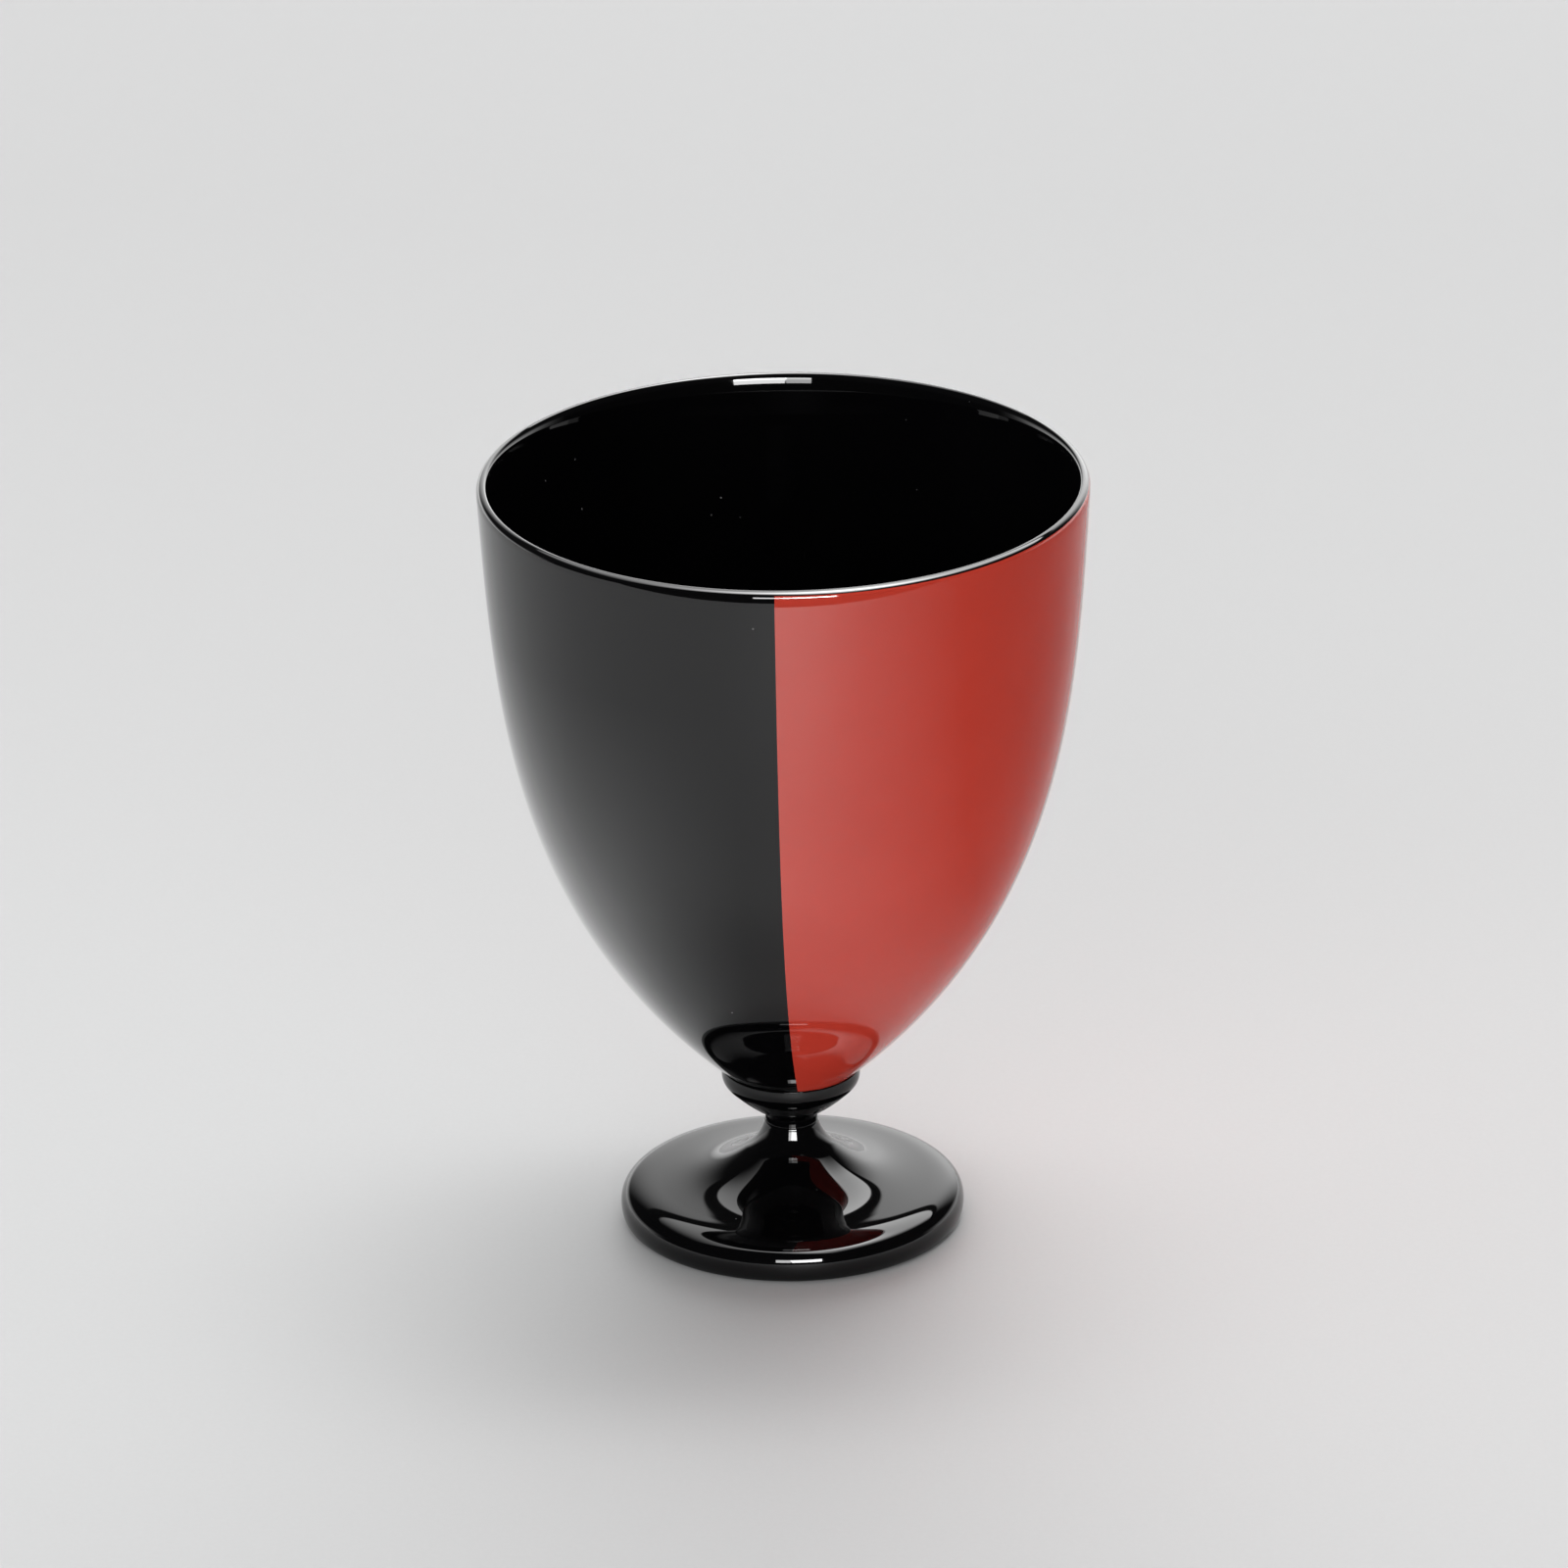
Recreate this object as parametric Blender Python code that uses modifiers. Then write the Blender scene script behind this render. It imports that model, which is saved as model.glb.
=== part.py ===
"""Two-tone lacquered sake cup: a turned wooden bowl and foot, the glue that joins them, and their lacquer coats."""

import math

import bpy
from mathutils import Vector
from mathutils.geometry import interpolate_bezier

# Overall size, in metres. The cup stands on z = 0 and is turned about the Z axis.
CUP_HEIGHT = 0.0866
RIM_RADIUS = 0.0330
FOOT_RADIUS = 0.01886

# Build-up of the lacquer, and the clearance left between touching pieces.
COAT = 0.0003
GAP = 0.0003
WOOD_DEPTH = COAT + GAP

# Bowl: a lip rounded more outside than inside, then one curve down the outside and one down the inside.
LIP_OUTER = 0.0008
LIP_INNER = 0.0005
LIP_CREST = RIM_RADIUS - LIP_OUTER
OUTSIDE_LEVEL = CUP_HEIGHT - LIP_OUTER
INSIDE_LEVEL = CUP_HEIGHT - LIP_INNER
OUTSIDE_LIP_HANDLE = (0.0315, 0.0606)
OUTSIDE_SEAT_HANDLE = (0.0303, 0.0379)
OUTSIDE_END = (0.0074, 0.0178)
INSIDE_LIP_HANDLE = (0.0289, 0.0726)
INSIDE_BOTTOM_HANDLE = 0.0288
INSIDE_BOTTOM = 0.0246
LIP_BAND = 0.0001
WOOD_TOP = 0.0836

# The red side ends on an upright plane beside the axis.
SPLIT_OFFSET = 0.00125

# Joint between bowl and foot: a tenon in a socket, with glue round it.
SEAT_LEVEL = 0.0171
SEAT_RADIUS = 0.0065
TENON_RADIUS = 0.0032
TENON_LENGTH = 0.0042
TENON_CHAMFER = 0.0004
GLUE = 0.0003
SOCKET_RADIUS = TENON_RADIUS + GLUE + 2 * GAP

# Collar under the bowl, and the neck below it.
COLLAR_TOP = (0.00735, 0.01745)
COLLAR_TOP_HANDLE = (0.0078, 0.01715)
COLLAR_RIM_HANDLE = (0.0078, 0.0164)
COLLAR_UNDER = (0.0070, 0.0156)
COLLAR_UNDER_HANDLE = (0.0046, 0.0132)
NECK_RADIUS = 0.00287
NECK_TOP_HANDLE = 0.0126
NECK_TOP = 0.0120

# Foot: a flare, steep down to its waist, that runs out into a disc; the disc rolls over a rounded edge
# to a hollowed underside.
FLARE_TOP = (0.00298, 0.01122)
FLARE_TOP_HANDLE = (0.0038, 0.00895)
WAIST_UPPER_HANDLE = (0.00433, 0.0083)
WAIST = (0.0048, 0.00795)
WAIST_LOWER_HANDLE = (0.00845, 0.00514)
FLARE_DISC_HANDLE = (0.01059, 0.00489)
DISC_START = (0.0140, 0.00451)
DISC_HANDLE = (0.0162, 0.00426)
EDGE_LEVEL = 0.0017
EDGE_RISE = 0.00254
EDGE_FALL = 0.0009
RING_OUTER = 0.0179
RING_HANDLE = 0.01855
RING_INNER = 0.0149
HOLLOW_RADIUS = 0.0143
HOLLOW_EDGE = 0.0006
HOLLOW_TOP = 0.0018

# Facets round the axis and along each curve.
BOWL_STEPS = 48
FOOT_STEPS = 36
BOWL_POINTS = 12
COLLAR_POINTS = 5
NECK_POINTS = 6
FLARE_POINTS = 5
SPREAD_POINTS = 8
DISC_POINTS = 8
EDGE_POINTS = 5
HOLLOW_POINTS = 4
LIP_POINTS = 4

MERGE_DISTANCE = 0.00001

# Finishes: linear colours, and how rough each surface is.
BLACK = (0.0015, 0.0015, 0.0018, 1.0)
RED = (0.54, 0.055, 0.036, 1.0)
WOOD = (0.52, 0.36, 0.20, 1.0)
GLUE_BROWN = (0.10, 0.045, 0.02, 1.0)
LACQUER_ROUGHNESS = 0.04
WOOD_ROUGHNESS = 0.6
GLUE_ROUGHNESS = 0.4


def clear_scene():
    for old in list(bpy.data.objects):
        bpy.data.objects.remove(old, do_unlink=True)


def collection(name):
    made = bpy.data.collections.new(name)
    bpy.context.scene.collection.children.link(made)
    return made


def finish(name, colour, roughness):
    material = bpy.data.materials.new(name)
    material.use_nodes = True
    shader = material.node_tree.nodes["Principled BSDF"]
    shader.inputs["Base Color"].default_value = colour
    shader.inputs["Roughness"].default_value = roughness
    shader.inputs["Metallic"].default_value = 0.0
    material.diffuse_color = colour
    return material


def outline(*places):
    """Outline points, each a radius and a height."""
    return [Vector(place) for place in places]


def curve(start, first_handle, second_handle, end, count):
    return interpolate_bezier(
        Vector(start), Vector(first_handle), Vector(second_handle), Vector(end), count
    )


def outward(start, end):
    along = (end - start).normalized()
    return Vector((-along.y, along.x))


def inset(points, depth):
    """The outline moved into the material, with each run kept parallel to itself."""
    moved = []
    for i, point in enumerate(points):
        near = [outward(*points[k : k + 2]) for k in (i - 1, i) if 0 <= k < len(points) - 1]
        first, last = near[0], near[-1]
        place = point - (first + last) * (depth / (1 + first.dot(last)))
        if point.x == 0:
            place.x = 0
        moved.append(place)
    return moved


def below(points, level):
    """The part of a falling outline that lies under a level."""
    for i, (upper, lower) in enumerate(zip(points, points[1:])):
        if lower.y < level:
            share = (upper.y - level) / (upper.y - lower.y)
            return [upper.lerp(lower, share)] + points[i + 1 :]
    return []


def bowl_outside():
    return curve(
        (RIM_RADIUS, OUTSIDE_LEVEL), OUTSIDE_LIP_HANDLE, OUTSIDE_SEAT_HANDLE, OUTSIDE_END, BOWL_POINTS
    )


def bowl_inside():
    """From the bottom, on the axis, up to the lip."""
    return curve(
        (0, INSIDE_BOTTOM),
        (INSIDE_BOTTOM_HANDLE, INSIDE_BOTTOM),
        INSIDE_LIP_HANDLE,
        (LIP_CREST - LIP_INNER, INSIDE_LEVEL),
        BOWL_POINTS,
    )


def quarter(level, radius, start):
    """A quarter turn of rounding about the lip's crest, from a start angle in quarters."""
    centre = Vector((LIP_CREST, level))
    angles = [math.pi / 2 * (start - k / (LIP_POINTS - 1)) for k in range(LIP_POINTS)]
    return [centre + radius * Vector((math.cos(a), math.sin(a))) for a in angles]


def lip():
    """From the inside over the crest."""
    return quarter(INSIDE_LEVEL, LIP_INNER, 2) + quarter(OUTSIDE_LEVEL, LIP_OUTER, 1)[1:]


def up_to(points, level):
    """The part of a rising outline that lies under a level."""
    return below(points[::-1], level)[::-1]


def foot_outside():
    """From the collar's top down to the middle of the underside."""
    neck_top = (NECK_RADIUS, NECK_TOP)
    above_neck = (NECK_RADIUS, NECK_TOP_HANDLE)
    edge = (FOOT_RADIUS, EDGE_LEVEL)
    above_edge = (FOOT_RADIUS, EDGE_LEVEL + EDGE_RISE)
    below_edge = (FOOT_RADIUS, EDGE_LEVEL - EDGE_FALL)
    points = curve(COLLAR_TOP, COLLAR_TOP_HANDLE, COLLAR_RIM_HANDLE, COLLAR_UNDER, COLLAR_POINTS)
    points += curve(COLLAR_UNDER, COLLAR_UNDER_HANDLE, above_neck, neck_top, NECK_POINTS)[1:]
    points += outline((NECK_RADIUS, FLARE_TOP[1]))
    points += curve(FLARE_TOP, FLARE_TOP_HANDLE, WAIST_UPPER_HANDLE, WAIST, FLARE_POINTS)
    points += curve(WAIST, WAIST_LOWER_HANDLE, FLARE_DISC_HANDLE, DISC_START, SPREAD_POINTS)[1:]
    points += curve(DISC_START, DISC_HANDLE, above_edge, edge, DISC_POINTS)[1:]
    points += curve(edge, below_edge, (RING_HANDLE, 0), (RING_OUTER, 0), EDGE_POINTS)[1:]
    points += outline((RING_INNER, 0))
    for k in range(HOLLOW_POINTS + 1):
        share = 1 - k / HOLLOW_POINTS
        points += outline((HOLLOW_RADIUS * share, HOLLOW_TOP - (HOLLOW_TOP - HOLLOW_EDGE) * share**2))
    return points


def turned(name, points, steps, material, group, closed=False):
    """A solid turned about Z from an outline that runs down its outer side."""
    mesh = bpy.data.meshes.new(name)
    edges = [(i, i + 1) for i in range(len(points) - 1)]
    if closed:
        edges.append((len(points) - 1, 0))
    mesh.from_pydata([(p.x, 0, p.y) for p in points], edges, [])
    mesh.materials.append(material)
    made = bpy.data.objects.new(name, mesh)
    group.objects.link(made)
    screw = made.modifiers.new("turning", "SCREW")
    screw.axis = "Z"
    screw.steps = steps
    screw.render_steps = steps
    screw.use_merge_vertices = True
    screw.merge_threshold = MERGE_DISTANCE
    screw.use_smooth_shade = True
    return made


def half_space(name, side, group):
    """A block that fills everything on one side of the split plane, and half the clearance beyond it."""
    size = 4 * RIM_RADIUS
    near = SPLIT_OFFSET - side * GAP / 2
    bpy.ops.mesh.primitive_cube_add(size=size, location=(near + side * size / 2, 0, CUP_HEIGHT / 2))
    block = bpy.context.object
    block.name = name
    block.hide_render = True
    block.display_type = "WIRE"
    for held in list(block.users_collection):
        held.objects.unlink(block)
    group.objects.link(block)
    return block


def bowl_wood(material, group):
    points = up_to(inset(bowl_inside(), WOOD_DEPTH), WOOD_TOP)
    points += below(inset(bowl_outside(), WOOD_DEPTH), WOOD_TOP)
    seat = SEAT_LEVEL + GAP
    socket_top = SEAT_LEVEL + TENON_LENGTH + GAP
    points += outline(
        (SEAT_RADIUS, seat), (SOCKET_RADIUS, seat), (SOCKET_RADIUS, socket_top), (0, socket_top)
    )
    return turned("bowl_wood", points, BOWL_STEPS, material, group)


def bowl_lining(material, group):
    """The inside coat, which builds up the lip and ends in a narrow band outside it."""
    band = OUTSIDE_LEVEL - LIP_BAND
    tongue_end = WOOD_TOP + GAP
    inside = bowl_inside()
    outside = bowl_outside()
    behind_sides = inset(outside, WOOD_DEPTH)
    points = inside[:-1] + lip() + below(outside, band)[:1]
    points += below(behind_sides, band)[:1] + below(behind_sides, tongue_end)[:1]
    points += up_to(inset(inside, COAT), tongue_end)[::-1]
    return turned("bowl_lining", points, BOWL_STEPS, material, group)


def side_coat(name, other_side, material, group):
    face = below(bowl_outside(), OUTSIDE_LEVEL - LIP_BAND - GAP)
    made = turned(name, face + inset(face, COAT)[::-1], BOWL_STEPS, material, group, closed=True)
    cut = made.modifiers.new("split", "BOOLEAN")
    cut.operation = "DIFFERENCE"
    cut.object = other_side
    return made


def foot_wood(material, group):
    tenon_top = SEAT_LEVEL + TENON_LENGTH
    points = outline(
        (0, tenon_top),
        (TENON_RADIUS - TENON_CHAMFER, tenon_top),
        (TENON_RADIUS, tenon_top - TENON_CHAMFER),
        (TENON_RADIUS, SEAT_LEVEL),
    )
    points += below(inset(foot_outside(), WOOD_DEPTH), SEAT_LEVEL)
    return turned("foot_wood", points, FOOT_STEPS, material, group)


def foot_coat(material, group):
    face = foot_outside()
    return turned("foot_coat", inset(face, COAT)[::-1] + face, FOOT_STEPS, material, group)


def tenon_glue(material, group):
    inner = TENON_RADIUS + GAP
    low = SEAT_LEVEL + GAP
    high = SEAT_LEVEL + TENON_LENGTH
    points = outline((inner + GLUE, high), (inner + GLUE, low), (inner, low), (inner, high))
    return turned("tenon_glue", points, FOOT_STEPS, material, group, closed=True)


def main():
    clear_scene()
    parts = collection("sake_cup")
    cutters = collection("cutters")
    black = finish("black_lacquer", BLACK, LACQUER_ROUGHNESS)
    red = finish("red_lacquer", RED, LACQUER_ROUGHNESS)
    wood = finish("turned_wood", WOOD, WOOD_ROUGHNESS)
    glue = finish("lacquer_glue", GLUE_BROWN, GLUE_ROUGHNESS)
    red_half = half_space("red_half", 1, cutters)
    black_half = half_space("black_half", -1, cutters)
    pieces = [
        bowl_wood(wood, parts),
        bowl_lining(black, parts),
        side_coat("black_side_coat", red_half, black, parts),
        side_coat("red_side_coat", black_half, red, parts),
        tenon_glue(glue, parts),
        foot_wood(wood, parts),
        foot_coat(black, parts),
    ]
    cup = bpy.data.objects.new("cup", None)
    parts.objects.link(cup)
    for piece in pieces:
        piece.parent = cup


main()
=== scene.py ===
import math
from functools import partial

import bpy
from mathutils import Matrix, Vector
from mathutils.geometry import interpolate_bezier


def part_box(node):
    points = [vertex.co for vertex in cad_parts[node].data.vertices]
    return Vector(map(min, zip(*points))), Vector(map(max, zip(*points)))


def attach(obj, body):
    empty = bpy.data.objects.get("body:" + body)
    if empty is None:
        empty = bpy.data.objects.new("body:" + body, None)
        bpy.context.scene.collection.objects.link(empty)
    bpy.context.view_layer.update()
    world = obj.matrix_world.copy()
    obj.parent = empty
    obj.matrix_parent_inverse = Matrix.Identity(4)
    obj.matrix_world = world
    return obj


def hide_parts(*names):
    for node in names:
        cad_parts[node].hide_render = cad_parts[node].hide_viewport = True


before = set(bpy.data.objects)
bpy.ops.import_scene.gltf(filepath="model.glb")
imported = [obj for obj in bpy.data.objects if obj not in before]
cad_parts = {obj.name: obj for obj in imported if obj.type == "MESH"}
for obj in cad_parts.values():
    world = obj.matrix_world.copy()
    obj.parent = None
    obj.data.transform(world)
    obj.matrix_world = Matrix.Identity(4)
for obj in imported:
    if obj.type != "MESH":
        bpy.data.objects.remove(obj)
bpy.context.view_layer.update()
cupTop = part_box("bowl_lining")[1].z
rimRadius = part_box("bowl_lining")[1].x
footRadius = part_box("foot_coat")[1].x
mm = 0.001
print(f"frame loaded: rim {2 * rimRadius / mm:.1f} mm across, cup {cupTop / mm:.1f} mm high")


# profile helpers: a profile is a list of (radius, height) points with the open air on its left

samePlace = 0.001 * mm  # profile points nearer than this count as one


def bend(start, handleA, handleB, end, count):
    return interpolate_bezier(Vector(start), Vector(handleA), Vector(handleB), Vector(end), count)


def roundOff(centre, radius, fromDegrees, toDegrees, count):
    points = []
    for k in range(count):
        angle = math.radians(fromDegrees + (toDegrees - fromDegrees) * k / (count - 1))
        points.append(Vector(centre) + radius * Vector((math.cos(angle), math.sin(angle))))
    return points


def outwardOf(start, end):
    along = (end - start).normalized()
    return Vector((-along.y, along.x))


def sinkIn(points, depth):  # the same profile, this deep inside the material
    sunk = []
    for k, point in enumerate(points):
        spans = [i for i in (k - 1, k) if 0 <= i < len(points) - 1]
        near = [outwardOf(points[i], points[i + 1]) for i in spans]
        place = point - (near[0] + near[-1]) * depth / (1 + near[0].dot(near[-1]))
        sunk.append(Vector((0 if point.x == 0 else place.x, place.y)))
    return sunk


# turning: a closed shell from a face profile, all the way round or between two upright cuts

sharpFrom = math.radians(40)  # edges that bend more than this stay crisp
foldShare = 0.999  # inner points nearer to the face than this share of the coat are folds


def meshPiece(name, points, faces, material):
    mesh = bpy.data.meshes.new(name)
    mesh.from_pydata(points, [], faces)
    mesh.validate()
    mesh.materials.append(material)
    mesh.shade_smooth()
    mesh.set_sharp_from_angle(angle=sharpFrom)
    piece = bpy.data.objects.new(name, mesh)
    bpy.context.scene.collection.objects.link(piece)
    return piece


def turnedShell(name, face, thickness, columns, material):
    clear = []  # the inner side, without the folds that tight roundings leave there
    for spot in sinkIn(face, thickness):
        if min((spot - point).length for point in face) > foldShare * thickness:
            clear.append(spot)
    points, rings, faces = [], [], []
    for spot in face + clear[::-1]:
        count = 1 if spot.x == 0 else columns
        rings.append((len(points), count))
        for k in range(count):
            angle = 2 * math.pi * k / columns
            points.append((spot.x * math.cos(angle), spot.x * math.sin(angle), spot.y))
    for k, (low, lowCount) in enumerate(rings):
        high, highCount = rings[(k + 1) % len(rings)]
        if lowCount == highCount == 1:
            continue  # both on the axis
        for c in range(columns):
            d = (c + 1) % columns
            lowEdge = (low + c % lowCount, low + d % lowCount)
            highEdge = (high + c % highCount, high + d % highCount)
            corners = (lowEdge[0], highEdge[0], highEdge[1], lowEdge[1])
            faces.append(list(dict.fromkeys(corners)))  # three corners next to the axis
    return meshPiece(name, points, faces, material)


def cutShell(name, face, thickness, columns, side, cutAt, material):
    loop = face + sinkIn(face, thickness)[::-1]
    points, faces = [], []
    for spot in loop:
        reach = math.acos(side * cutAt / spot.x)  # every ring ends on the plane of the split
        middle = 0 if side > 0 else math.pi
        for k in range(columns + 1):
            angle = middle + reach * (2 * k / columns - 1)
            points.append((spot.x * math.cos(angle), spot.x * math.sin(angle), spot.y))
    row = columns + 1
    for k in range(len(loop)):
        low, high = k * row, (k + 1) % len(loop) * row
        for c in range(columns):
            faces.append([low + c, high + c, high + c + 1, low + c + 1])
    last = len(loop) - 1
    for k in range(len(face) - 1):  # the two upright ends
        near, far = (k, k + 1), (last - k, last - k - 1)
        faces.append([near[0] * row, far[0] * row, far[1] * row, near[1] * row])
        faces.append([columns + i * row for i in (near[0], near[1], far[1], far[0])])
    return meshPiece(name, points, faces, material)


# node helpers

noiseSpan = (0.3, 0.7)  # where most of a noise lies
mixFirst, mixSecond, mixResult = 6, 7, 2  # colour sockets of the mix node


def setSockets(node, values):
    for key, value in values.items():
        node.inputs[key].default_value = value


def addNode(tree, kind, sockets=(), **settings):
    node = tree.nodes.new(kind)
    for key, value in settings.items():
        setattr(node, key, value)
    setSockets(node, dict(sockets))
    return node


def feed(tree, socket, value):  # links another socket, or sets a plain value
    if isinstance(value, bpy.types.NodeSocket):
        tree.links.new(value, socket)
    else:
        socket.default_value = value


def mathsOn(tree, operation, first, second=0.0):
    node = addNode(tree, "ShaderNodeMath", operation=operation)
    feed(tree, node.inputs[0], first)
    feed(tree, node.inputs[1], second)
    return node.outputs["Value"]


def productOn(tree, *values):
    total = values[0]
    for value in values[1:]:
        total = mathsOn(tree, "MULTIPLY", total, value)
    return total


def placeOn(tree):
    return addNode(tree, "ShaderNodeTexCoord").outputs["Object"]


def placeParts(tree):
    parts = addNode(tree, "ShaderNodeSeparateXYZ")
    tree.links.new(placeOn(tree), parts.inputs["Vector"])
    return parts.outputs


def noiseOn(tree, size, detail):
    noise = addNode(tree, "ShaderNodeTexNoise", {"Scale": 1 / size, "Detail": detail})
    tree.links.new(placeOn(tree), noise.inputs["Vector"])
    return noise.outputs["Fac"]


def spread(tree, value, low, high, span=noiseSpan):
    limits = {"From Min": span[0], "From Max": span[1], "To Min": low, "To Max": high}
    ranged = addNode(tree, "ShaderNodeMapRange", limits)
    tree.links.new(value, ranged.inputs["Value"])
    return ranged.outputs["Result"]


def blendColour(tree, share, first, second):
    mix = addNode(tree, "ShaderNodeMix", data_type="RGBA")
    for socket, colour in ((mixFirst, first), (mixSecond, second)):
        plain = not isinstance(colour, bpy.types.NodeSocket)
        feed(tree, mix.inputs[socket], (*colour, 1) if plain else colour)
    tree.links.new(share, mix.inputs[0])
    return mix.outputs[mixResult]


def startFinish(name):
    material = bpy.data.materials.new(name)
    material.use_nodes = True
    tree = material.node_tree
    return material, tree, tree.nodes["Principled BSDF"]


# lacquer

grainCore = 0.5  # share of a dust grain's size that is solid
fullGrains = 0.6  # share of the grains that show in full, the others are fainter

blackLook = {
    "deep": (0.0012, 0.0012, 0.0015),
    "light": (0.0019, 0.0018, 0.0021),
    "cloudSize": 0.012,
    "roughness": (0.02, 0.04),
    "rubSize": 0.003,
    "gloss": 1.6,
    "waveSize": 0.012,
    "waveHeight": 0.00002,
    "waveStrength": 0.03,
    "dust": {"spacing": 0.0045, "grain": 0.00013, "share": 0.3, "colour": (0.30, 0.30, 0.30)},
}

redLook = {
    "deep": (0.625, 0.052, 0.031),
    "light": (0.655, 0.058, 0.036),
    "cloudSize": 0.012,
    "roughness": (0.03, 0.06),
    "rubSize": 0.003,
    "gloss": 1.16,
    "topCoat": {"X": (0.001, 0.021), "Z": (0.033, 0.015)},  # from full polish to none
    "topGloss": 2.0,
    "topRoughness": 0.03,
    "waveSize": 0.012,
    "waveHeight": 0.00002,
    "waveStrength": 0.03,
    "dust": {"spacing": 0.0045, "grain": 0.0001, "share": 0.02, "colour": (0.45, 0.10, 0.07)},
}

insideLook = dict(
    blackLook,
    gloss=1.32,
    topCoat={"Z": (0.0861, 0.0859)},  # on the crest of the lip only
    topGloss=1.4,
    topRoughness=0.03,
    dust=dict(blackLook["dust"], spacing=0.0036, share=0.95),
    lap={
        "colour": redLook["deep"],
        "across": (0.00123, 0.00127),
        "below": (0.08622, 0.08628),
        "outside": (0.0322, 0.0323),
    },
)

blackSideLook = dict(
    blackLook,
    topCoat={"X": (-0.016, -0.003), "Z": (0.046, 0.072)},
    topGloss=1.5,
    topRoughness=0.03,
)

footLook = dict(blackLook, gloss=1.4)


def dustOn(tree, dust):  # 1 on a few small grains caught in the lacquer, 0 elsewhere
    cells = addNode(tree, "ShaderNodeTexVoronoi", {"Scale": 1 / dust["spacing"]})
    tree.links.new(placeOn(tree), cells.inputs["Vector"])
    pick = addNode(tree, "ShaderNodeSeparateColor")
    tree.links.new(cells.outputs["Color"], pick.inputs["Color"])
    size = dust["grain"] / dust["spacing"]
    close = spread(tree, cells.outputs["Distance"], 1, 0, (size * grainCore, size))
    limits = (1 - dust["share"], 1 - dust["share"] * fullGrains)
    return productOn(tree, close, spread(tree, pick.outputs["Red"], 0, 1, limits))


def lapOn(tree, lap):  # 1 where the other colour laps onto the outside of the lip, 0 elsewhere
    flat = addNode(tree, "ShaderNodeVectorMath", {1: (1, 1, 0)}, operation="MULTIPLY")
    radius = addNode(tree, "ShaderNodeVectorMath", operation="LENGTH")
    tree.links.new(placeOn(tree), flat.inputs[0])
    tree.links.new(flat.outputs["Vector"], radius.inputs[0])
    parts = placeParts(tree)
    return productOn(
        tree,
        spread(tree, parts["X"], 0, 1, lap["across"]),
        spread(tree, parts["Z"], 1, 0, lap["below"]),
        spread(tree, radius.outputs["Value"], 0, 1, lap["outside"]),
    )


def polishedLacquer(name, look):
    material, tree, shader = startFinish(name)
    cloud = spread(tree, noiseOn(tree, look["cloudSize"], detail=4), 0, 1)
    colour = blendColour(tree, cloud, look["deep"], look["light"])
    if "lap" in look:
        colour = blendColour(tree, lapOn(tree, look["lap"]), colour, look["lap"]["colour"])
    colour = blendColour(tree, dustOn(tree, look["dust"]), colour, look["dust"]["colour"])
    tree.links.new(colour, shader.inputs["Base Color"])
    rubbed = spread(tree, noiseOn(tree, look["rubSize"], detail=5), *look["roughness"])
    tree.links.new(rubbed, shader.inputs["Roughness"])
    shader.inputs["IOR"].default_value = look["gloss"]
    if "topCoat" in look:  # extra polish that thins out across or up the bowl
        parts = placeParts(tree)
        thins = [spread(tree, parts[axis], 1, 0, span) for axis, span in look["topCoat"].items()]
        tree.links.new(productOn(tree, *thins), shader.inputs["Coat Weight"])
        setSockets(shader, {"Coat Roughness": look["topRoughness"], "Coat IOR": look["topGloss"]})
    depth = {"Strength": look["waveStrength"], "Distance": look["waveHeight"]}
    wave = addNode(tree, "ShaderNodeBump", depth)
    tree.links.new(noiseOn(tree, look["waveSize"], detail=1), wave.inputs["Height"])
    for socket in ("Normal", "Coat Normal"):
        tree.links.new(wave.outputs["Normal"], shader.inputs[socket])
    return material


# wood and glue under the lacquer

ringAtScaleOne = 0.314  # metres from ring to ring in a wave texture at a scale of 1

woodLook = {
    "pale": (0.58, 0.41, 0.23),
    "dark": (0.40, 0.25, 0.12),
    "ringWidth": 0.0016,
    "waver": 2.5,
    "waverScale": 1.5,
    "roughness": (0.5, 0.7),
    "poreSize": 0.0004,
    "poreDepth": 0.00005,
    "poreStrength": 0.4,
}

glueLook = {
    "thin": (0.13, 0.06, 0.027),
    "thick": (0.07, 0.03, 0.014),
    "lumpSize": 0.001,
    "roughness": (0.3, 0.5),
}


def turnedWood(name, look):
    material, tree, shader = startFinish(name)
    sizes = {
        "Scale": ringAtScaleOne / look["ringWidth"],
        "Distortion": look["waver"],
        "Detail Scale": look["waverScale"],
    }
    rings = addNode(tree, "ShaderNodeTexWave", sizes, wave_type="RINGS", rings_direction="X")
    tree.links.new(placeOn(tree), rings.inputs["Vector"])
    colour = blendColour(tree, rings.outputs["Fac"], look["pale"], look["dark"])
    tree.links.new(colour, shader.inputs["Base Color"])
    pores = noiseOn(tree, look["poreSize"], detail=3)
    tree.links.new(spread(tree, pores, *look["roughness"]), shader.inputs["Roughness"])
    depth = {"Strength": look["poreStrength"], "Distance": look["poreDepth"]}
    grain = addNode(tree, "ShaderNodeBump", depth)
    tree.links.new(pores, grain.inputs["Height"])
    tree.links.new(grain.outputs["Normal"], shader.inputs["Normal"])
    return material


def setGlue(name, look):
    material, tree, shader = startFinish(name)
    lumps = noiseOn(tree, look["lumpSize"], detail=4)
    colour = blendColour(tree, spread(tree, lumps, 0, 1), look["thin"], look["thick"])
    tree.links.new(colour, shader.inputs["Base Color"])
    tree.links.new(spread(tree, lumps, *look["roughness"]), shader.inputs["Roughness"])
    return material


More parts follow.
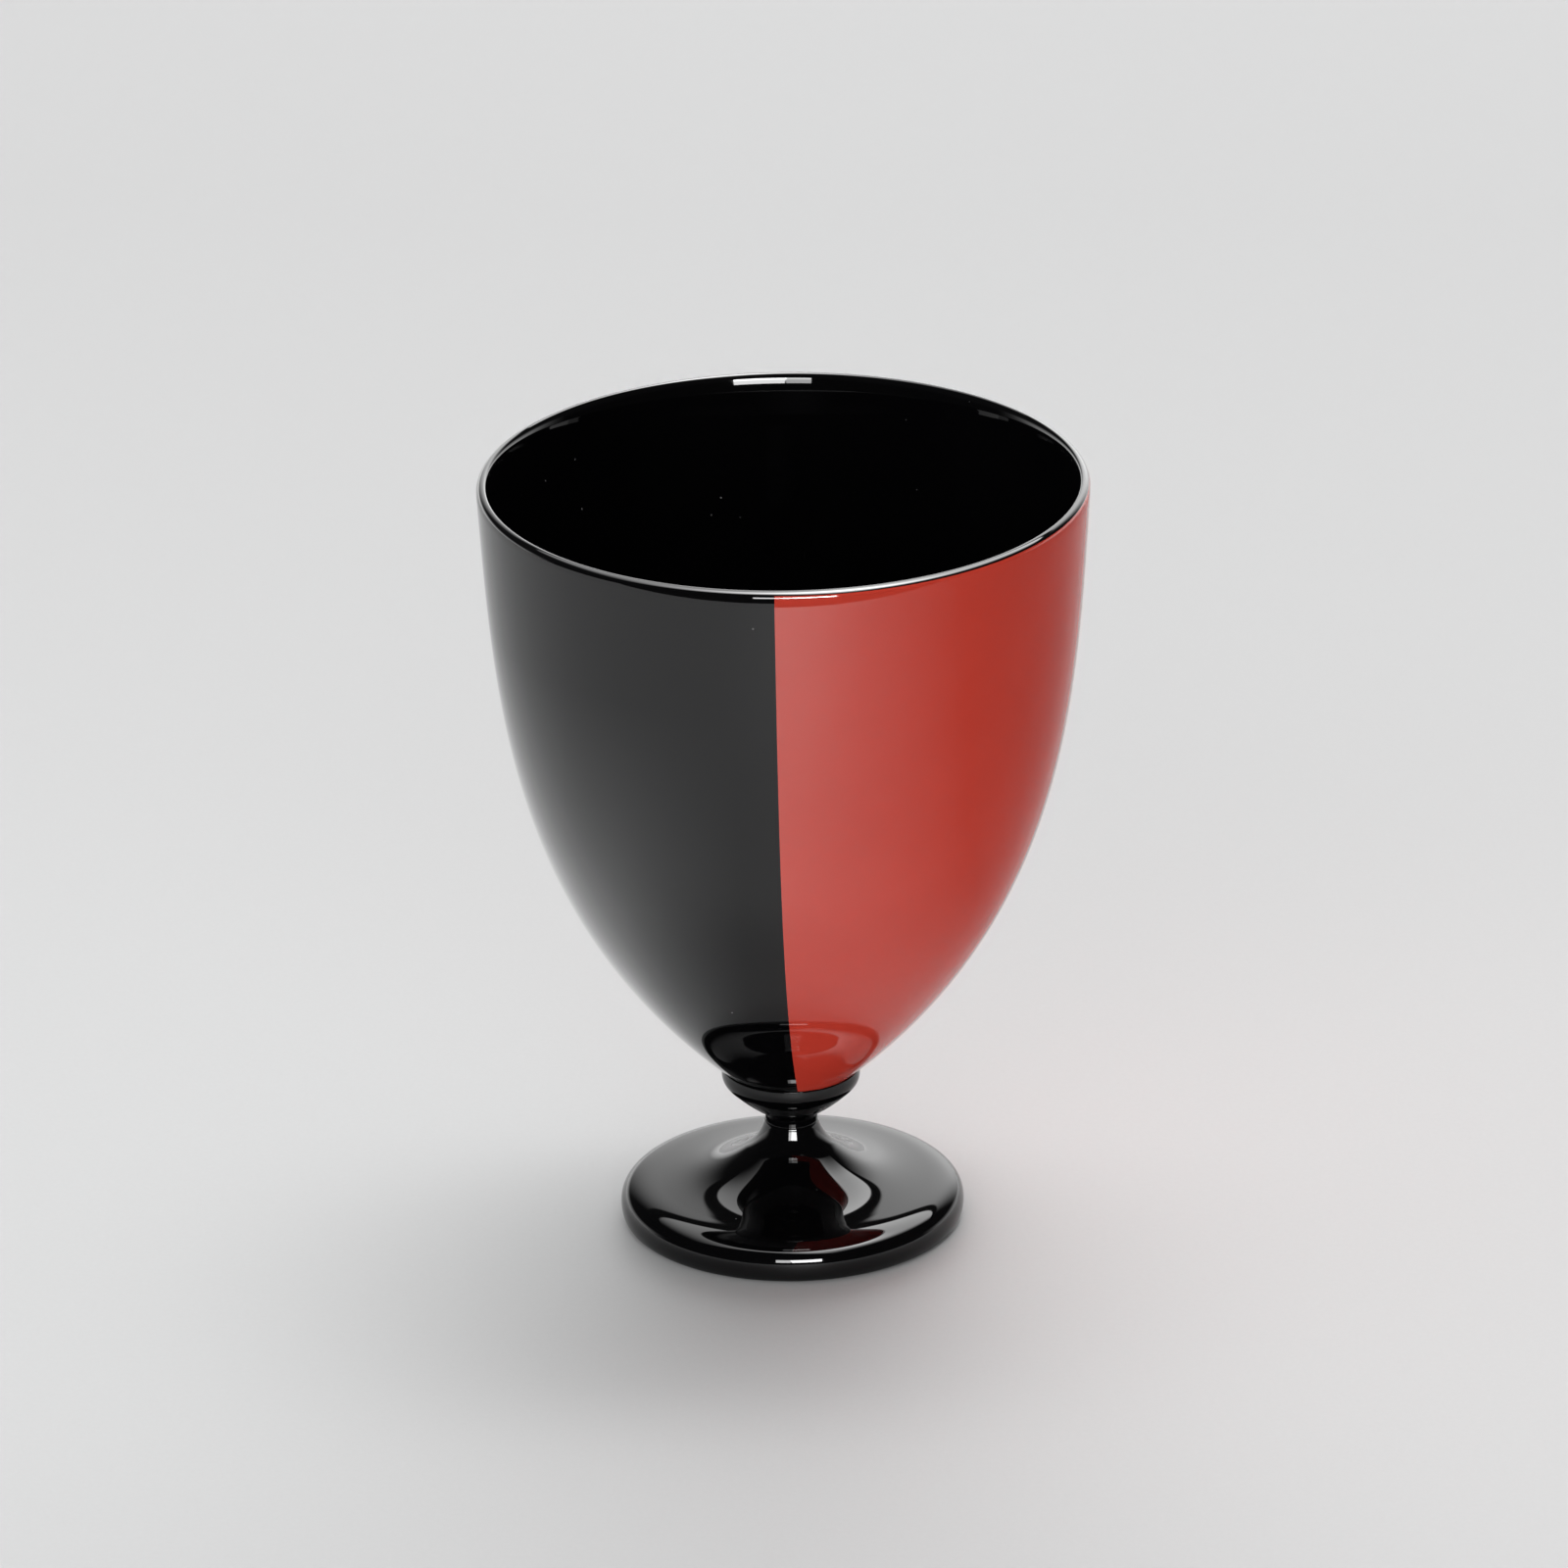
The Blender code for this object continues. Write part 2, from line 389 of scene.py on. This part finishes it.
blackLacquer = polishedLacquer("blackLacquer", footLook)
insideLacquer = polishedLacquer("insideLacquer", insideLook)
blackSideLacquer = polishedLacquer("blackSideLacquer", blackSideLook)
redLacquer = polishedLacquer("redLacquer", redLook)
hiddenWood = turnedWood("turnedWood", woodLook)
hiddenGlue = setGlue("lacquerGlue", glueLook)
print("finishes ready")


# bowl: the inside with its lip, and the two coloured sides

bowl = {
    "lipOuter": 0.8 * mm,
    "lipStart": (31.42 * mm, 84.9 * mm),
    "lipStartHandle": (31.62 * mm, 85.85 * mm),
    "lipCrestHandle": 0.35 * mm,
    "bandDegrees": 15,  # how far down its outer rounding the black lip reaches
    "outsideLipHandle": (31.5 * mm, 60.6 * mm),
    "outsideSeatHandle": (30.3 * mm, 37.9 * mm),
    "outsideEnd": (7.4 * mm, 17.8 * mm),
    "insideLipHandle": (28.9 * mm, 72.6 * mm),
    "insideBottomHandle": 28.8 * mm,
    "insideBottom": 24.6 * mm,
    "coat": 0.3 * mm,
    "splitAt": 1.25 * mm,
    "wallPoints": 72,
    "lipPoints": 16,
    "leadLean": 0.06,  # how the wall runs on above its own top, out for up
    "leadPoints": 4,
    "easePoints": 12,
    "columns": 256,
}

sides = {
    "black": {
        "node": "black_side_coat",
        "slot": "black_lacquer",
        "finish": blackSideLacquer,
        "side": -1,
        "easeDepth": 0.6 * mm,
        "easeDegrees": 8,
    },
    "red": {
        "node": "red_side_coat",
        "slot": "red_lacquer",
        "finish": redLacquer,
        "side": 1,
        "easeDepth": 1.1 * mm,
        "easeDegrees": 9,
    },
}

lipCrest = rimRadius - bowl["lipOuter"]
outsideLevel = cupTop - bowl["lipOuter"]


def lipOutside(fromDegrees, toDegrees, count):
    centre = (lipCrest, outsideLevel)
    return roundOff(centre, bowl["lipOuter"], fromDegrees, toDegrees, count)


def bowlInside():
    wall = bend(
        (0, bowl["insideBottom"]),
        (bowl["insideBottomHandle"], bowl["insideBottom"]),
        bowl["insideLipHandle"],
        bowl["lipStart"],
        bowl["wallPoints"],
    )
    rounding = bend(
        bowl["lipStart"],
        bowl["lipStartHandle"],
        (lipCrest - bowl["lipCrestHandle"], cupTop),
        (lipCrest, cupTop),
        2 * bowl["lipPoints"],
    )
    return wall[:-1] + rounding + lipOutside(90, bowl["bandDegrees"], bowl["lipPoints"])[1:]


def bowlSide(easeDepth, easeDegrees):  # the coat draws in a little just under the lip
    wall = bend(
        (rimRadius, outsideLevel),
        bowl["outsideLipHandle"],
        bowl["outsideSeatHandle"],
        bowl["outsideEnd"],
        bowl["wallPoints"],
    )
    topLevel = lipOutside(bowl["bandDegrees"], 0, 2)[0].y
    easeLevel = topLevel - easeDepth
    lead = wall[0] + (topLevel - wall[0].y) * Vector((bowl["leadLean"], 1))
    points = [lead.lerp(wall[0], k / bowl["leadPoints"]) for k in range(bowl["leadPoints"])]
    for upper, lower in zip(wall, wall[1:]):
        count = bowl["easePoints"] if upper.y > easeLevel else 1
        points += [upper.lerp(lower, k / count) for k in range(count)]
    points.append(wall[-1])
    drawIn = easeDepth * math.tan(math.radians(easeDegrees)) / 2
    eased = []
    for point in points:
        over = max(0.0, point.y - easeLevel) / easeDepth
        eased.append(Vector((point.x - over * over * drawIn, point.y)))
    return eased


insideCoat = turnedShell("insideCoat", bowlInside(), bowl["coat"], bowl["columns"], insideLacquer)
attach(insideCoat, "root")
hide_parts("bowl_lining")

for colourName, coat in sides.items():
    sideCoat = cutShell(
        colourName + "SideCoat",
        bowlSide(coat["easeDepth"], coat["easeDegrees"]),
        bowl["coat"],
        bowl["columns"] // 2,
        coat["side"],
        bowl["splitAt"],
        coat["finish"],
    )
    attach(sideCoat, "root")
    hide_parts(coat["node"])
print("bowl turned: inside with lip, black side, red side")


# foot: collar, neck with its ring, flare, disc, edge and hollow underside

foot = {
    "collarInner": (6.7 * mm, 17.76 * mm),
    "collarInnerHandle": (7.46 * mm, 17.76 * mm),
    "collarEdgeHandle": (7.5 * mm, 17.75 * mm),
    "collarTop": (7.51 * mm, 17.7 * mm),
    "collarTopHandle": (7.59 * mm, 17.15 * mm),
    "collarRimHandle": (7.8 * mm, 16.4 * mm),
    "collarUnder": (7.0 * mm, 15.6 * mm),
    "collarUnderHandle": (4.6 * mm, 13.2 * mm),
    "neckTopHandle": (2.98 * mm, 12.55 * mm),
    "neckTop": (2.92 * mm, 12.1 * mm),
    "neckBottom": (2.83 * mm, 11.42 * mm),
    "ringHandle": (2.815 * mm, 11.31 * mm),
    "ringInner": (2.84 * mm, 11.27 * mm),
    "ringEdge": (2.93 * mm, 11.26 * mm),
    "flareTop": (2.96 * mm, 11.22 * mm),
    "flareTopHandle": (3.31 * mm, 9.97 * mm),
    "waistHandleIn": (3.97 * mm, 8.81 * mm),
    "waist": (5.0 * mm, 8.02 * mm),
    "waistHandleOut": (8.65 * mm, 5.21 * mm),
    "discHandleIn": (10.59 * mm, 4.89 * mm),
    "discStart": (14.0 * mm, 4.51 * mm),
    "discHandle": (16.2 * mm, 4.26 * mm),
    "overEdge": (footRadius, 4.24 * mm),
    "edge": (footRadius, 1.7 * mm),
    "underEdge": (footRadius, 0.8 * mm),
    "standHandle": (18.55 * mm, 0),
    "standOuter": (17.9 * mm, 0),
    "standInner": (15.1 * mm, 0),
    "hollowHandle": (14.7 * mm, 0),
    "hollowEdge": (14.3 * mm, 0.6 * mm),
    "hollowEdgeHandle": (9 * mm, 1.5 * mm),
    "hollowTopHandle": (4 * mm, 1.8 * mm),
    "hollowTop": (0, 1.8 * mm),
    "coat": 0.3 * mm,
    "columns": 208,
}

footRuns = [  # start, its handle, the handle of the end, end, number of points
    ("collarInner", "collarInnerHandle", "collarEdgeHandle", "collarTop", 8),
    ("collarTop", "collarTopHandle", "collarRimHandle", "collarUnder", 28),
    ("collarUnder", "collarUnderHandle", "neckTopHandle", "neckTop", 32),
    ("neckBottom", "ringHandle", "ringInner", "ringEdge", 10),
    ("flareTop", "flareTopHandle", "waistHandleIn", "waist", 28),
    ("waist", "waistHandleOut", "discHandleIn", "discStart", 48),
    ("discStart", "discHandle", "overEdge", "edge", 36),
    ("edge", "underEdge", "standHandle", "standOuter", 14),
    ("standInner", "hollowHandle", "hollowHandle", "hollowEdge", 8),
    ("hollowEdge", "hollowEdgeHandle", "hollowTopHandle", "hollowTop", 20),
]


def footFace():
    face = []
    for start, handleA, handleB, end, count in footRuns:
        for point in bend(foot[start], foot[handleA], foot[handleB], foot[end], count):
            if not face or (point - face[-1]).length > samePlace:
                face.append(point)
    face[-1] = Vector(foot["hollowTop"])  # exactly on the axis
    return face


footCoat = turnedShell("footCoat", footFace(), foot["coat"], foot["columns"], blackLacquer)
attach(footCoat, "root")
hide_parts("foot_coat")
print("foot turned")

underCoats = {"bowl_wood": hiddenWood, "foot_wood": hiddenWood, "tenon_glue": hiddenGlue}
for nodeName, material in underCoats.items():
    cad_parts[nodeName].data.materials.clear()
    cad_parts[nodeName].data.materials.append(material)
print("wood and glue under the coats finished")


# floor: a pale sheet, with an apron in front of it for views from behind

floorSheet = {
    "apronFront": -3.0,  # a front part that the lacquer does not mirror
    "front": -0.2,
    "back": 3.0,
    "half": 3.0,
    "pale": (0.541, 0.543, 0.546),
    "shade": (0.531, 0.533, 0.536),
    # painted shade: the darker colour the sheet is given away from the cup
    "far": (0.468, 0.469, 0.472),
    "paintedShadeFrom": (0.02, 0.32),  # painted shade: the sheet's colour darkens away from the cup, where its light falls off
    "fibre": 0.0006,
    "roughness": 0.6,
    "gloss": 0.14,
    "sheen": 0.7,
    "sheenSpread": 0.25,
}


def paperFinish(look):
    material, tree, shader = startFinish("palePaper")
    fibres = noiseOn(tree, look["fibre"], detail=4)
    colour = blendColour(tree, spread(tree, fibres, 0, 1), look["shade"], look["pale"])
    # painted shade: the colour darkens to the far colour away from the cup, standing in for light
    # falling off
    away = spread(tree, placeParts(tree)["Y"], 0, 1, look["paintedShadeFrom"])
    tree.links.new(blendColour(tree, away, colour, look["far"]), shader.inputs["Base Color"])
    shader.inputs["Roughness"].default_value = look["roughness"]
    shader.inputs["Specular IOR Level"].default_value = look["gloss"]
    shader.inputs["Sheen Weight"].default_value = look["sheen"]
    shader.inputs["Sheen Roughness"].default_value = look["sheenSpread"]
    return material


def laySheet(name, front, back, material):
    half = floorSheet["half"]
    corners = [(-half, front, 0), (half, front, 0), (half, back, 0), (-half, back, 0)]
    return meshPiece(name, corners, [(0, 1, 2, 3)], material)


palePaper = paperFinish(floorSheet)
floor = laySheet("floor", floorSheet["front"], floorSheet["back"], palePaper)
apron = laySheet("apron", floorSheet["apronFront"], floorSheet["front"], palePaper)
apron.visible_diffuse = apron.visible_glossy = apron.visible_shadow = False  # for the eye only
print("floor laid")


# light: two windows in front of the cup, the right one brighter, seen only as reflections

windows = [
    {"azimuth": -6.5, "elevation": 18, "width": 9.5, "tall": 15.0, "level": 18.0},
    {"azimuth": 8.7, "elevation": 18, "width": 19.4, "tall": 15.0, "level": 38.0},
]
windowDistance = 4.0
cameraAzimuth = 4.06


def towards(azimuth, elevation):  # from the cup, with azimuth 0 at its front
    a, e = math.radians(azimuth), math.radians(elevation)
    return Vector((math.sin(a) * math.cos(e), -math.cos(a) * math.cos(e), math.sin(e)))


def hangWindow(name, window):
    place = towards(window["azimuth"] + cameraAzimuth, window["elevation"]) * windowDistance
    halves = [math.radians(window[key]) / 2 for key in ("width", "tall")]
    size = [2 * windowDistance * math.tan(angle) for angle in halves]
    data = bpy.data.lights.new(name, "AREA")
    data.shape = "RECTANGLE"
    data.size, data.size_y = size
    data.energy = window["level"] * math.pi * size[0] * size[1]
    lamp = bpy.data.objects.new(name, data)
    lamp.location = place
    lamp.rotation_euler = (-place).to_track_quat("-Z", "Y").to_euler()
    lamp.visible_camera = False
    lamp.visible_diffuse = False
    bpy.context.scene.collection.objects.link(lamp)


for k, window in enumerate(windows):
    hangWindow(f"window{k}", window)
print("lamps hung")


# surroundings seen in the lacquer: a white panel overhead, a white sweep low behind, dark elsewhere
# the panel is laid out on a plane one unit above the cup: x to the right and y away from the camera

room = {
    "seen": (0.716, 0.716, 0.72),  # what the camera sees past the floor
    "dark": 0.04,
    "sweep": 2.94,
    "sweepFoot": 0.68,  # share of its level where it meets the floor, all along the back
    "sweepFootTop": 14.0,
    "sweepBehind": (0.0, 0.4),
    "sweepTop": 34.3,
    "sweepTopSoft": 0.01,
    "sweepLeft": (-34.0, 16.0),
    "sweepRight": (16.0, 46.0),
    "panelLeft": 3.4,
    "panelRight": 7.2,
    "panelStep": (-0.1, 0.15),
    "panelBack": (1.22, 1.26),
    "panelFront": (-0.42, -0.34),
    "frontLean": 0.5,
    "panelLeftEdge": (-0.9, -0.3),
    "panelRightEdge": (0.38, 0.78),
    "panelLean": 0.45,
    "panelShift": 0.12,
    "lampLevel": 26.0,
    "lampPlace": (0.15, 0.1),
    "lampSize": (0.32, 0.3),
    "floorLine": (-0.03, 0.0),  # no light from below the floor
    "lowest": 0.02,  # keeps the panel's plane from running out to the horizon
}

# what lights the floor and the red side: a soft lamp overhead and low light, most of it from behind
glow = {
    "lamp": {"level": 13.6, "place": (0.137, 0.244), "size": (0.34, 0.13)},
    "haze": {"level": 1.12, "place": (0.137, 0.244), "size": (0.8, 0.7)},
    "back": {"level": 5.75, "azimuth": 2.6, "halfWidth": 49.0},
    "front": {"level": 3.6, "azimuth": 190.0, "halfWidth": 45.0},
    "left": {"level": 1.2, "azimuth": -90.0, "halfWidth": 60.0},
    "lowTop": (29.0, 45.0),
}


def buildRoom(look, light):
    world = bpy.data.worlds.new("studio")
    bpy.context.scene.world = world
    world.use_nodes = True
    tree = world.node_tree
    tree.nodes.clear()
    maths = partial(mathsOn, tree)
    product = partial(productOn, tree)

    def rising(value, limits):
        sockets = {"From Min": limits[0], "From Max": limits[1]}
        node = addNode(tree, "ShaderNodeMapRange", sockets, interpolation_type="SMOOTHSTEP")
        tree.links.new(value, node.inputs["Value"])
        return node.outputs["Result"]

    def falling(value, limits):
        return maths("SUBTRACT", 1, rising(value, limits))

    def inRadians(limits):
        return [math.radians(angle) for angle in limits]

    def squares(x, y):
        return maths("ADD", product(x, x), product(y, y))

    turn = addNode(tree, "ShaderNodeMapping", {"Rotation": (0, 0, -math.radians(cameraAzimuth))})
    place = addNode(tree, "ShaderNodeTexCoord")
    tree.links.new(place.outputs["Generated"], turn.inputs["Vector"])
    parts = addNode(tree, "ShaderNodeSeparateXYZ")
    tree.links.new(turn.outputs["Vector"], parts.inputs["Vector"])
    x, y, z = (parts.outputs[axis] for axis in "XYZ")

    def awayFrom(azimuth):  # angle away from this bearing, as seen from above
        a = math.radians(azimuth)
        along = maths("ADD", product(x, math.sin(a)), product(y, math.cos(a)))
        across = maths("SUBTRACT", product(x, math.cos(a)), product(y, math.sin(a)))
        return maths("ARCTAN2", across, along)

    side = maths("ARCTAN2", x, y)
    rise = maths("ARCSINE", z)
    top, soft = math.radians(look["sweepTop"]), look["sweepTopSoft"]
    footRise = (0, math.radians(look["sweepFootTop"]))
    across = product(
        rising(side, inRadians(look["sweepLeft"])),
        falling(side, inRadians(look["sweepRight"])),
    )
    alongFoot = product(falling(rise, footRise), rising(y, look["sweepBehind"]))
    fade = product(rising(rise, footRise), 1 - look["sweepFoot"])
    sweep = product(
        maths("MAXIMUM", across, alongFoot),
        falling(rise, (top - soft, top + soft)),
        rising(rise, look["floorLine"]),
        maths("ADD", fade, look["sweepFoot"]),
        look["sweep"],
    )

    low = product(falling(rise, inRadians(light["lowTop"])), rising(rise, look["floorLine"]))
    glowing = 0.0
    for name in ("back", "front", "left"):
        away = product(awayFrom(light[name]["azimuth"]), 1 / math.radians(light[name]["halfWidth"]))
        facing = maths("MAXIMUM", maths("SUBTRACT", 1, product(away, away)), 0)
        glowing = maths("ADD", glowing, product(low, facing, light[name]["level"]))

    high = maths("MAXIMUM", z, look["lowest"])
    overX, overY = maths("DIVIDE", x, high), maths("DIVIDE", y, high)

    def softSpot(level, place, size):
        offsets = [maths("SUBTRACT", over, at) for over, at in zip((overX, overY), place)]
        away = [product(offset, 1 / width) for offset, width in zip(offsets, size)]
        return product(maths("EXPONENT", product(squares(*away), -1)), level)

    reach = maths("SQRT", squares(maths("SUBTRACT", overX, look["panelShift"]), overY))
    leaning = maths("SUBTRACT", overX, product(overY, look["panelLean"]))
    shape = product(
        falling(reach, look["panelBack"]),
        rising(maths("ADD", overY, product(overX, look["frontLean"])), look["panelFront"]),
        rising(overX, look["panelLeftEdge"]),
        falling(leaning, look["panelRightEdge"]),
    )
    step = product(rising(overX, look["panelStep"]), look["panelRight"] - look["panelLeft"])
    lamp = softSpot(look["lampLevel"], look["lampPlace"], look["lampSize"])
    panel = product(shape, maths("ADD", maths("ADD", step, look["panelLeft"]), lamp))

    for name in ("lamp", "haze"):
        glowing = maths("ADD", glowing, softSpot(**light[name]))

    rays = addNode(tree, "ShaderNodeLightPath")
    mirrored = maths("ADD", maths("ADD", sweep, panel), look["dark"])
    glossy = rays.outputs["Is Glossy Ray"]
    unseen = product(glowing, maths("SUBTRACT", 1, glossy))
    studio = addNode(tree, "ShaderNodeBackground")
    tree.links.new(maths("ADD", product(mirrored, glossy), unseen), studio.inputs["Strength"])
    plain = addNode(tree, "ShaderNodeBackground", {"Color": (*look["seen"], 1)})
    choose = addNode(tree, "ShaderNodeMixShader")
    tree.links.new(rays.outputs["Is Camera Ray"], choose.inputs[0])
    tree.links.new(studio.outputs[0], choose.inputs[1])
    tree.links.new(plain.outputs[0], choose.inputs[2])
    out = addNode(tree, "ShaderNodeOutputWorld")
    tree.links.new(choose.outputs[0], out.inputs["Surface"])


buildRoom(room, glow)
print("surroundings set")


# camera at the photograph's viewing angle

shot = {
    "lens": 274.4,
    "sensor": 36.0,
    "distance": 1.3,
    "elevation": 23.18,
    "roll": 0.75,
    "look": (0, 0, 0.042),
    "slide": (-0.000338, 0.008385),
    "reach": 20.0,
}


def placeCamera(view):
    a, roll = math.radians(cameraAzimuth), math.radians(view["roll"])
    back = towards(cameraAzimuth, view["elevation"])
    right = Vector((math.cos(a), math.sin(a), 0))
    up = back.cross(right)
    stand = Vector(view["look"]) + back * view["distance"]
    aim = Vector(view["look"]) + right * view["slide"][0] + up * view["slide"][1]
    zAxis = (stand - aim).normalized()
    leaning = up * math.cos(roll) + right * math.sin(roll)
    xAxis = leaning.cross(zAxis).normalized()
    yAxis = zAxis.cross(xAxis)
    data = bpy.data.cameras.new("camera")
    data.lens = view["lens"]
    data.sensor_width = view["sensor"]
    data.clip_end = view["reach"]
    camera = bpy.data.objects.new("camera", data)
    camera.matrix_world = Matrix((xAxis, yAxis, zAxis)).transposed().to_4x4()
    camera.location = stand
    bpy.context.scene.collection.objects.link(camera)
    bpy.context.scene.camera = camera


placeCamera(shot)
bpy.context.scene.view_settings.view_transform = "Standard"
print("camera placed")
